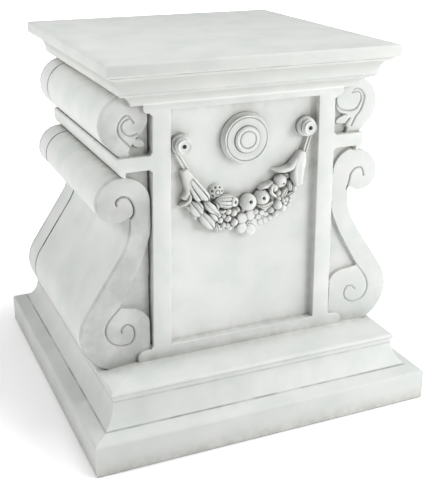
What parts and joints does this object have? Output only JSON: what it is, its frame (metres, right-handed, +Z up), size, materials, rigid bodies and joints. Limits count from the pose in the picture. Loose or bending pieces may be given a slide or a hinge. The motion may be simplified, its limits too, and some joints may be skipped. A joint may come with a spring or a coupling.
{
  "type": "plinth",
  "caption": "Square garden statue plinth with scroll consoles, a framed garland panel, a moulded cap and a stepped base.",
  "frame": {"origin": "centre of the underside, on the surface that the plinth stands on", "axes": "+Z up; -Y is the front, the side with the garland; +X to the right of someone who faces the front"},
  "size_m": [0.436, 0.436, 0.45],
  "materials": {
    "cast_stone": "matt off-white cast resin stone, with a grey wash left in its grooves and hollows"
  },
  "bodies": {
    "root": {"plinth": "cast_stone"}
  },
  "joints": []
}
